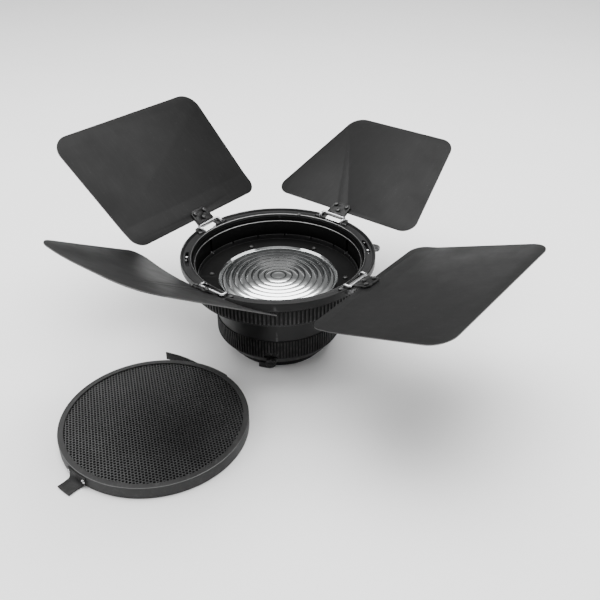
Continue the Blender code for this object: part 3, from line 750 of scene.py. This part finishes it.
def make_lens_plate(mats):
    """Plate with a castellated rim, its notches spaced evenly."""
    rim_r = 73.0
    # inside the rim the plate takes the darker recess copy, painted shade in the well
    plate = turned_like("lens_plate", (mats["recess_shade"], mats["face"]), bare=lambda r, z: r > rim_r)
    rim_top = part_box("lens_plate")[1].z / MM
    tools = []
    for k in range(RIM_NOTCHES):
        outline = radial_block(FIRST_NOTCH + 360 * k / RIM_NOTCHES, rim_r, 76, 0.8)
        tools.append(prism("rim_notch_%d" % k, outline, rim_top - 2.2, rim_top + 1))
    tools += screw_holes(LENS_SCREWS, 1.3, 6, 70)
    settle(shade(combine(plate, tools)), "lens_carrier", "lens_plate")
    retainer = turned_like("lens_retainer", (mats["metal"],))
    combine(retainer, screw_holes(LENS_SCREWS, 1.3, 6, 65))
    settle(shade(retainer), "lens_carrier", "lens_retainer")
    head_h = 1.3
    master = screw_mesh("lens_screw_master", 2.2, head_h, 1.0, 5.9, (mats["screw"],))
    for k, node in enumerate(LENS_SCREWS):
        seat = middle_of(node)
        seat.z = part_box(node)[1].z - head_h * MM
        placed_copy(master, aimed(seat, (0, 0, 1), 0.7 * k), "lens_carrier", node)
    bpy.data.objects.remove(master)
    for node in FOLLOWERS:
        angle = azimuth_of(node)
        profile = [(0, 5.0), (0.9, 5.0), (1.2, 4.7), (1.2, 0.3), (0.6, 0.3), (0.6, -1.9), (0, -1.9)]
        item = spin(node + "_fine", profile, (mats["steel"],), 24, closed=False)
        item.matrix_world = aimed(polar(75.0, angle, middle_of(node).z / MM), polar(1, angle))
        settle(shade(item), "lens_carrier", node)


def make_lens(mats):
    """Stepped lens: every facet falls outwards like a slice of a dome, and a steep step leads to the next."""
    low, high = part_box("fresnel_lens")
    top = high.z / MM
    bottom = low.z / MM
    flange_r = high.x / MM
    section = section_of("fresnel_lens")[0]
    clear = max(r for r, z in section if z > top - 1)
    flange_top = max(z for r, z in section if r > clear + 1)
    pitch = (clear - LENS_RIM - LENS_EYE) / LENS_GROOVES
    width = pitch - STEP_WIDTH
    profile = [(0.0, top - 0.1)]
    profile += [(LENS_EYE * k / 6, top - 0.1 - EYE_FALL * (k / 6) ** 2) for k in range(1, 7)]
    for groove in range(LENS_GROOVES):
        inner = LENS_EYE + pitch * groove + STEP_WIDTH
        fall = width * tan(FIRST_SLOPE + (LAST_SLOPE - FIRST_SLOPE) * groove / (LENS_GROOVES - 1))
        profile += [(inner + width * k / 6, top - 0.05 - fall * (k / 6) ** 2) for k in range(7)]
    profile += soften([(clear - LENS_RIM, top), (clear, top), (clear, flange_top)], 0.4, False)[1:]
    profile += [(flange_r, flange_top), (flange_r, bottom), (0.0, bottom)]

    def step(radius, height):
        return LENS_EYE < radius < clear - LENS_RIM and (radius - LENS_EYE) % pitch < STEP_WIDTH

    # the steep steps take the near-black step material, painted shade
    lens = spin("fresnel_lens_fine", profile, (mats["glass"], mats["step"]), FINE, False, bare=step)
    settle(shade(lens, 24), "lens_carrier", "fresnel_lens")


# ---------------------------------------------------------------- barn-door ring

def hinge_matrix(name):
    """Frame of one leaf's hinge bar, raised with its leaf."""
    hinge = joint("door_%s_fold" % name)
    place = Vector(hinge["pos_m"])
    azimuth = atan2(place.y, place.x)
    lift = LOWEST_LEAF - hinge["range_deg"][0]
    turn = Matrix.Rotation(azimuth - pi / 2, 4, "Z") @ Matrix.Rotation(radians(lift), 4, "X")
    return Matrix.Translation(place) @ turn


def ear_outline():
    """Ear proud of the ring, in the ring's plane with +x along the ear."""
    radius = 2.0                 # of its corners
    near = BAR_LEG_R - 1.0
    points = [(near, -EAR_HALF - 3.0)]
    points += arc((EAR_REACH - radius, -EAR_HALF + radius), radius, -90, 0, 6)
    points += arc((EAR_REACH - radius, EAR_HALF - radius), radius, 0, 90, 6)
    points.append((near, EAR_HALF + 3.0))
    return points


def ring_slot(angle, back, forward, radius=82.6, half=1.8):
    """Arc-shaped slot with round ends."""
    start = angle - back
    end = angle + forward
    points = arc((0, 0), radius + half, start, end, 16)
    tip = (radius * cos(radians(end)), radius * sin(radians(end)))
    points += arc(tip, half, end, end + 180, 8)[1:-1]
    points += arc((0, 0), radius - half, end, start, 16)
    tail = (radius * cos(radians(start)), radius * sin(radians(start)))
    points += arc(tail, half, start + 180, start + 360, 8)[1:-1]
    return points


def make_ring(mats):
    def zone(radius, height):
        if 95.0 < height < 95.6 and radius < 79.05:
            return 1
        return 2 if radius > 87.6 else 0

    ring = turned_like("barndoor_ring", (mats["face"], mats["lip"], mats["wall"]), 228, 0.3, bare=zone)
    ears = []
    cuts = []
    for name in LEAF_SHAPES:
        place = Vector(joint("door_%s_fold" % name)["pos_m"])
        turn = Matrix.Rotation(atan2(place.y, place.x), 4, "Z")
        ears.append(prism("ear_" + name, ear_outline(), EAR_LOW, EAR_TOP, matrix=turn))
        notch = [(NOTCH_R, -NOTCH_HALF), (96, -NOTCH_HALF), (96, NOTCH_HALF), (NOTCH_R, NOTCH_HALF)]
        cuts.append(prism("notch_" + name, notch, 84, 104, matrix=turn))
        for side in (-1, 1):
            leg = turn @ (Vector((BAR_LEG_R, side * BAR_HALF, 95)) * MM)
            cuts.append(rod("leg_hole_%s_%d" % (name, side), BAR_WIRE + 0.3, 12, leg, (0, 0, 1), 22))
    for node in ("lock_pin_1", "lock_pin_2"):
        cuts.append(prism("slot_for_" + node, ring_slot(azimuth_of(node), 4.4, 11.4), 90, 100))
    combine(ring, ears, "UNION")
    combine(ring, cuts)
    settle(shade(ring, 28), "door_ring", "barndoor_ring")
    mark = spin("index_pip", [(0, 1.3), (1.1, 1.2), (1.6, 0.7), (1.7, 0.0), (0, 0.0)],
                (mats["screw"],), 20, closed=False)
    mark.matrix_world = Matrix.Translation(polar(79.2, 76.0, 95.35))
    shade(mark)
    settle(mark, "door_ring")


def make_hinge_bar(name, mats):
    """Bright wire bow standing on the ring."""
    hinge = joint("door_%s_fold" % name)
    place = Vector(hinge["pos_m"]) / MM
    bar_r = hypot(place.x, place.y)
    bend = 2.0
    shoulder = arc((BAR_LEG_R + bend, place.z - bend), bend, 180, 90, 6)
    corner = arc((bar_r - bend, bend - BAR_HALF), bend, -90, 0, 6)
    half = [(BAR_LEG_R, -BAR_HALF, BAR_FOOT_Z)]
    half += [(r, -BAR_HALF, z) for r, z in shoulder]
    half += [(r, y, place.z) for r, y in corner]
    points = half + [(x, -y, z) for x, y, z in reversed(half)]
    curve = bpy.data.curves.new("bow_" + name, "CURVE")
    curve.dimensions = "3D"
    curve.bevel_depth = BAR_WIRE * MM
    curve.bevel_resolution = 5
    curve.use_fill_caps = True
    spline = curve.splines.new("POLY")
    spline.points.add(len(points) - 1)
    for point, spot in zip(spline.points, points):
        point.co = (*(Vector(spot) * MM), 1.0)
    path = bpy.data.objects.new("bow_path_" + name, curve)
    bpy.context.scene.collection.objects.link(path)
    bpy.context.view_layer.update()
    mesh = bpy.data.meshes.new_from_object(path.evaluated_get(bpy.context.evaluated_depsgraph_get()))
    bpy.data.objects.remove(path)
    work = bmesh.new()
    work.from_mesh(mesh)
    bmesh.ops.remove_doubles(work, verts=work.verts, dist=1e-6)
    turn = Matrix.Rotation(atan2(place.y, place.x), 4, "Z")
    bmesh.ops.transform(work, matrix=turn, verts=work.verts)
    item = new_item("hinge_bar_%s_fine" % name, work, (mats["chrome"],))
    settle(shade(item, 50), "door_ring", "hinge_bar_" + name)


def make_lock_ring(mats):
    ring = turned_like("lock_ring", (mats["metal"],), round_by=0.2)
    low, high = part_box("lock_ring")
    middle = radians(TAB_ANGLE)
    across = Vector((-sin(middle), cos(middle)))
    out = Vector((cos(middle), sin(middle)))
    points = [out * TAB_ROOT_R - across * 11, out * TAB_NECK_R - across * 9.5]
    for k in range(17):
        swing = -pi / 2 + pi * k / 16
        points.append(out * (TAB_TIP_R + 5.6 * cos(swing)) + across * 6.2 * sin(swing))
    points += [out * TAB_NECK_R + across * 9.5, out * TAB_ROOT_R + across * 11]
    tab = prism("thumb_tab", [(p.x, p.y) for p in points], low.z / MM, high.z / MM)
    combine(ring, [tab], "UNION")
    settle(shade(chamfer(ring, 0.2)), "door_lock", "lock_ring")
    for node in ("lock_pin_1", "lock_pin_2"):
        low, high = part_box(node)
        spot = (low + high) / 2
        base = low.z / MM + 1.7
        profile = [(0, 5.1), (0.9, 5.05), (1.2, 4.85), (1.35, 4.5), (1.35, 0.3), (0.9, 0.3), (0.9, -1.7),
                   (0, -1.7)]
        item = spin(node + "_fine", profile, (mats["chrome"],), 24, closed=False)
        item.matrix_world = Matrix.Translation((spot.x, spot.y, base * MM))
        settle(shade(item), "door_lock", node)


# ---------------------------------------------------------------- barn-door leaves

def leaf_side(near_half, far_half):
    """Right-hand side of a leaf, from its hinge tongue out to its free edge."""
    slope = atan2(far_half - near_half, LEAF_END - LEAF_START)
    lean = degrees(slope)
    inner = (near_half - INNER_CORNER / cos(slope), LEAF_START + INNER_CORNER)
    shift = (LEAF_END - LEAF_START - OUTER_CORNER) * sin(slope) / cos(slope)
    outer = (near_half + shift - OUTER_CORNER / cos(slope), LEAF_END - OUTER_CORNER)
    points = [(CLAMP_HALF, 0.0), (CLAMP_HALF, LEAF_START)]
    points += arc(inner, INNER_CORNER, -90, -lean, 16)
    points += arc(outer, OUTER_CORNER, -lean, 90, 20)
    return points


def keep_flat_places(item):
    """Stores where each point lies on the level sheet, for grain that follows the sheet."""
    flat = item.data.attributes.new("flat", "FLOAT_VECTOR", "POINT")
    for entry, vert in zip(flat.data, item.data.vertices):
        entry.vector = vert.co


def fold_sheet(work):
    """Bends the sheet up past the fold line, over a small radius."""
    start = FOLD_AT - FOLD_WIDTH / 2
    radius = FOLD_WIDTH / FOLD_ANGLE
    for k in range(5):
        line = Vector((0, start + FOLD_WIDTH * k / 4, -LEAF_DROP)) * MM
        bmesh.ops.bisect_plane(work, geom=work.faces[:] + work.edges[:] + work.verts[:],
                               plane_co=line, plane_no=(0, 1, 0))
    for vert in work.verts:
        past = vert.co.y / MM - start
        if past > 0:
            turn = FOLD_ANGLE * min(past / FOLD_WIDTH, 1.0)
            straight = max(past - FOLD_WIDTH, 0.0)
            vert.co.y = (start + radius * sin(turn) + straight * cos(turn)) * MM
            vert.co.z += (radius * (1 - cos(turn)) + straight * sin(turn)) * MM


def bow_sheet(work, rise):
    """Lets the sheet curve up towards both sides, as a thin sheet does once it has been handled."""
    for k in range(18):
        for side in (-1, 1):
            line = Vector((side * (BOW_FROM + BOW_SPAN * k / 17), 0, 0)) * MM
            bmesh.ops.bisect_plane(work, geom=work.faces[:] + work.edges[:] + work.verts[:],
                                   plane_co=line, plane_no=(1, 0, 0))
    for vert in work.verts:
        past = max(abs(vert.co.x) / MM - BOW_FROM, 0.0)
        vert.co.z += rise * (past / BOW_SPAN) ** 2 * MM


def make_leaf(name, mats):
    near_half, far_half, folded = LEAF_SHAPES[name]
    right = leaf_side(near_half, far_half)
    outline = right + [(-x, y) for x, y in reversed(right)]
    work = bmesh.new()
    verts = [work.verts.new((x * MM, y * MM, -LEAF_DROP * MM)) for x, y in outline]
    work.faces.new(verts)
    if folded:
        fold_sheet(work)
    if name in LEAF_BOW:
        bow_sheet(work, LEAF_BOW[name])
    curl = sorted((v for v in work.verts if abs(v.co.y) < 1e-7), key=lambda v: v.co.x)
    for k in range(1, 15):
        swing = radians(-90 - 110 * k / 14)
        low = [work.verts.new((v.co.x, LEAF_DROP * MM * cos(swing), LEAF_DROP * MM * sin(swing)))
               for v in curl]
        work.faces.new((curl[0], curl[1], low[1], low[0]))
        curl = low
    bmesh.ops.recalc_face_normals(work, faces=work.faces)
    item = new_item("leaf_%s_fine" % name, work, (mats["sheet"], mats["cut"]))
    sheet = item.modifiers.new("sheet", "SOLIDIFY")
    sheet.thickness = LEAF_THICK * MM
    sheet.offset = 0.0
    sheet.material_offset_rim = 1
    tools = [rod("leaf_hole_%d" % k, 1.35, 12, Vector((x, y, 0)) * MM, (0, 0, 1), 24)
             for k, (x, y) in enumerate(CLAMP_SCREWS)]
    combine(item, tools)
    chamfer(item, 0.15, 2, 50)
    frozen(item)
    keep_flat_places(item)
    item.data.transform(hinge_matrix(name))
    settle(shade(item, 25), "door_" + name, "leaf_" + name)


def make_clamp(name, mats, master):
    """Clamp plate over the leaf's tongue, with its three screws."""
    low = -LEAF_DROP + LEAF_THICK / 2 + 0.3
    edge = 13.5
    outline = [(-CLAMP_HALF, 1.7), (CLAMP_HALF, 1.7), (CLAMP_HALF, edge), (CLAMP_HALF - 3, edge + 3),
               (-CLAMP_HALF + 3, edge + 3), (-CLAMP_HALF, edge)]
    clamp = prism("leaf_clamp_%s_fine" % name, outline, low, low + 1.6, (mats["clamp"],))
    tools = [rod("clamp_hole_%d" % k, 1.35, 12, Vector((x, y, 0)) * MM, (0, 0, 1), 24)
             for k, (x, y) in enumerate(CLAMP_SCREWS)]
    combine(clamp, tools)
    chamfer(clamp, 0.3, 2, 50)
    frozen(clamp)
    base = hinge_matrix(name)
    clamp.data.transform(base)
    settle(shade(clamp), "door_" + name, "leaf_clamp_" + name)
    for k, (x, y) in enumerate(CLAMP_SCREWS):
        seat = Matrix.Translation(Vector((x, y, low + 1.9)) * MM) @ Matrix.Rotation(0.5 + 0.9 * k, 4, "Z")
        placed_copy(master, base @ seat, "door_" + name, "clamp_screw_%s_%d" % (name, k + 1))


# ---------------------------------------------------------------- honeycomb grid

def make_grid(mats):
    centre = tuple(middle_of("grid_frame").xy / MM)
    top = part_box("grid_frame")[1].z / MM

    # the thin top outer edge of the frame takes the bright cut-edge metal: a painted highlight along the rim
    def highlight_rim(radius, height):
        return height > top - 0.3 and radius > 77.75

    rim = turned_like("grid_frame", (mats["band"], mats["cut"]), 240, 0.4, centre=centre, bare=highlight_rim)
    tools = []
    for node in GRID_RIVETS:
        spot = middle_of(node)
        away = Vector((spot.x - centre[0] * MM, spot.y - centre[1] * MM, 0))
        tools.append(rod("hole_for_" + node, 1.15, 12, spot, away, 20))
    seam = [(77.6, -0.12), (79.7, -0.12), (79.7, 0.12), (77.6, 0.12)]
    turn = Matrix.Rotation(radians(73), 4, "Z")
    place = Matrix.Translation((centre[0] * MM, centre[1] * MM, 0)) @ turn
    tools.append(prism("rim_seam", seam, -1, top + 1, matrix=place))
    settle(shade(combine(rim, tools)), "grid", "grid_frame")
    make_core(mats, centre)
    for node in GRID_RIVETS:
        make_rivet(node, centre, mats)
    for node in ("grid_tab_1", "grid_tab_2"):
        make_tab(node, mats)


def make_core(mats, centre):
    """Hexagonal cells that share their walls, kept whole inside the frame's channel."""
    low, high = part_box("grid_core")
    reach = 77.0 - CELL_PITCH * 0.6
    side = CELL_PITCH / 3 ** 0.5
    hole = (CELL_PITCH - CELL_WALL) / 3 ** 0.5
    work = bmesh.new()
    shared = {}

    def at(x, y, z):
        key = (round(x, 3), round(y, 3), z)
        if key not in shared:
            turned = Vector((x, y)).to_3d()
            turned.rotate(Matrix.Rotation(CELL_TURN, 3, "Z"))
            shared[key] = work.verts.new(((turned.x + centre[0]) * MM, (turned.y + centre[1]) * MM, z))
        return shared[key]

    rows = int(reach / CELL_PITCH * 1.2) + 1
    for row in range(-rows, rows + 1):
        for column in range(-rows, rows + 1):
            x = CELL_PITCH * (column + 0.5 * (row % 2))
            y = CELL_PITCH * row * 3 ** 0.5 / 2
            if hypot(x, y) > reach:
                continue
            turns = [radians(30 + 60 * k) for k in range(6)]
            for k in range(6):
                a, b = turns[k], turns[(k + 1) % 6]
                inner = [(x + hole * cos(t), y + hole * sin(t)) for t in (a, b)]
                outer = [(x + side * cos(t), y + side * sin(t)) for t in (a, b)]
                for z, flip in ((high.z, False), (low.z, True)):
                    ring = [at(*inner[0], z), at(*outer[0], z), at(*outer[1], z), at(*inner[1], z)]
                    work.faces.new(ring[::-1] if flip else ring)
                work.faces.new((at(*inner[0], high.z), at(*inner[1], high.z),
                                at(*inner[1], low.z), at(*inner[0], low.z)))
    rim = [e for e in work.edges if len(e.link_faces) == 1]
    upper = [e for e in rim if e.verts[0].co.z > (low.z + high.z) / 2]
    lower_of = {}
    for edge in rim:
        for v in edge.verts:
            lower_of.setdefault((round(v.co.x, 7), round(v.co.y, 7)), {})[v.co.z > (low.z + high.z) / 2] = v
    for edge in upper:
        a, b = edge.verts
        foot_a = lower_of[(round(a.co.x, 7), round(a.co.y, 7))].get(False)
        foot_b = lower_of[(round(b.co.x, 7), round(b.co.y, 7))].get(False)
        if foot_a and foot_b:
            work.faces.new((a, b, foot_b, foot_a))
    bmesh.ops.recalc_face_normals(work, faces=work.faces)
    core = new_item("grid_core_fine", work, (mats["foil"],))
    core.data.set_sharp_from_angle(angle=radians(20))
    settle(core, "grid", "grid_core")


def make_rivet(node, centre, mats):
    low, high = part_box(node)
    spot = (low + high) / 2
    away = Vector((spot.x - centre[0] * MM, spot.y - centre[1] * MM, 0)).normalized()
    head = Vector((centre[0] * MM, centre[1] * MM, spot.z)) + away * 80.0 * MM
    profile = [(0, 0.95), (0.7, 0.92), (1.3, 0.75), (1.8, 0.42), (2.0, 0.1), (2.0, 0),
               (0.85, 0), (0.85, -3.2), (0, -3.2)]
    item = spin(node + "_fine", profile, (mats["chrome"],), 24, closed=False)
    item.matrix_world = aimed(head, away)
    settle(shade(item), "grid", node)


def make_tab(node, mats):
    """The strap keeps its frame shape, with its edges skived round."""
    source = frame["nodes"][node]
    work = bmesh.new()
    work.from_mesh(source.data)
    bmesh.ops.remove_doubles(work, verts=work.verts, dist=1e-5)
    bmesh.ops.dissolve_limit(work, angle_limit=radians(0.5), verts=work.verts, edges=work.edges)
    item = new_item(node + "_fine", work, (mats["leather"],))
    chamfer(item, 0.28, 3, 40)
    frozen(item)
    settle(shade(item, 50), "grid", node)


# ---------------------------------------------------------------- stage, light and camera

def make_stage():
    work = bmesh.new()
    bmesh.ops.create_grid(work, x_segments=2, y_segments=2, size=8.0)
    floor = new_item("floor", work, (floor_paint(),))
    floor.location.z = -0.0002


def area(name, place, aim, size, power):
    data = bpy.data.lights.new(name, "AREA")
    data.shape = "RECTANGLE"
    data.size = size[0]
    data.size_y = size[1]
    data.energy = power
    item = bpy.data.objects.new(name, data)
    item.location = place
    item.rotation_euler = (Vector(aim) - Vector(place)).to_track_quat("-Z", "Y").to_euler()
    bpy.context.scene.collection.objects.link(item)


def make_light():
    """A room that is bright overhead and behind the set, and three soft boxes."""
    world = bpy.data.worlds.new("pale_room")
    world.use_nodes = True
    tree = world.node_tree
    back = tree.nodes["Background"]
    back.inputs["Color"].default_value = (1.0, 1.0, 1.0, 1.0)
    place = tree.nodes.new("ShaderNodeTexCoord")
    split = tree.nodes.new("ShaderNodeSeparateXYZ")
    tree.links.new(place.outputs["Generated"], split.inputs["Vector"])
    sky = ranged(tree, split.outputs["Z"], 0.6, 0.85, LOW_SKY, HIGH_SKY)
    behind = ranged(tree, split.outputs["Y"], 0.75, 0.92, 0.0, 1.0)
    cloth = ranged(tree, split.outputs["Z"], 0.45, 0.3, 0.0, BACKDROP)
    both = tree.nodes.new("ShaderNodeMath")
    both.operation = "MULTIPLY_ADD"
    for socket, value in zip(both.inputs, (behind, cloth, sky)):
        tree.links.new(value, socket)
    tree.links.new(both.outputs["Value"], back.inputs["Strength"])
    bpy.context.scene.world = world
    for box in BOXES:
        area(*box)


def make_camera():
    data = bpy.data.cameras.new("camera")
    data.lens = VIEW_LENS
    data.clip_start = 0.01
    item = bpy.data.objects.new("camera", data)
    target = Vector(VIEW_TARGET) * MM
    back = Vector((0, -cos(VIEW_PITCH), sin(VIEW_PITCH)))
    item.location = target + back * VIEW_DISTANCE * MM
    item.rotation_euler = (pi / 2 - VIEW_PITCH, 0, 0)
    bpy.context.scene.collection.objects.link(item)
    bpy.context.scene.camera = item


# ---------------------------------------------------------------- build

def main():
    mats = make_materials()
    make_camera()
    make_rear(mats)
    make_front_tube(mats)
    make_zoom_ring(mats)
    make_lens_plate(mats)
    make_lens(mats)
    make_ring(mats)
    make_lock_ring(mats)
    master = screw_mesh("clamp_screw_master", 2.1, 1.3, 1.0, 4.6, (mats["screw"],))
    for name in LEAF_SHAPES:
        make_hinge_bar(name, mats)
        make_leaf(name, mats)
        make_clamp(name, mats, master)
    bpy.data.objects.remove(master)
    make_grid(mats)
    make_stage()
    make_light()


main()
